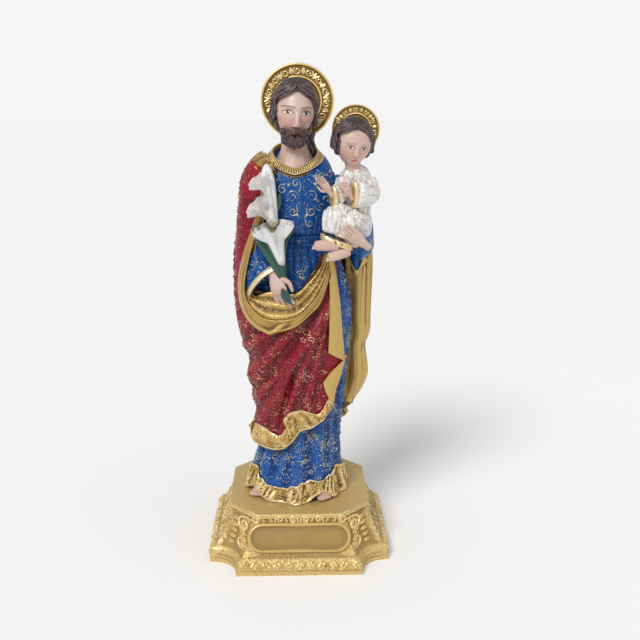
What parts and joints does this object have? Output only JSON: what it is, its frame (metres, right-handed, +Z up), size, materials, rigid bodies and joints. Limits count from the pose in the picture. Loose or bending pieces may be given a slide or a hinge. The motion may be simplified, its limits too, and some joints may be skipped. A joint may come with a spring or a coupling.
{
  "type": "religious statuette",
  "caption": "Painted cast-resin statuette of a bearded saint holding a seated child and a stem of lilies, both with halo discs, on a square gold scrolled base.",
  "frame": {"origin": "middle of the underside of the base", "axes": "+Z up, the figure faces -Y, +X to the viewer's right"},
  "size_m": [0.1125, 0.1128, 0.2999],
  "materials": {
    "base_gold": "antique gold paint, rubbed bright on the relief",
    "robe_blue": "blue enamel paint with rubbed gold relief",
    "mantle_red": "crimson enamel paint with rubbed gold relief",
    "lining_gold": "satin gold paint",
    "skin": "satin flesh paint",
    "hair": "dark brown paint, dry brushed",
    "pearl_white": "pearl white paint",
    "leaf_green": "dark green paint",
    "halo_gold": "antique gold paint, dark in the hollows"
  },
  "bodies": {
    "root": {"base": "base_gold", "figure": "robe_blue", "halo": "halo_gold", "child_halo": "halo_gold"}
  },
  "joints": []
}
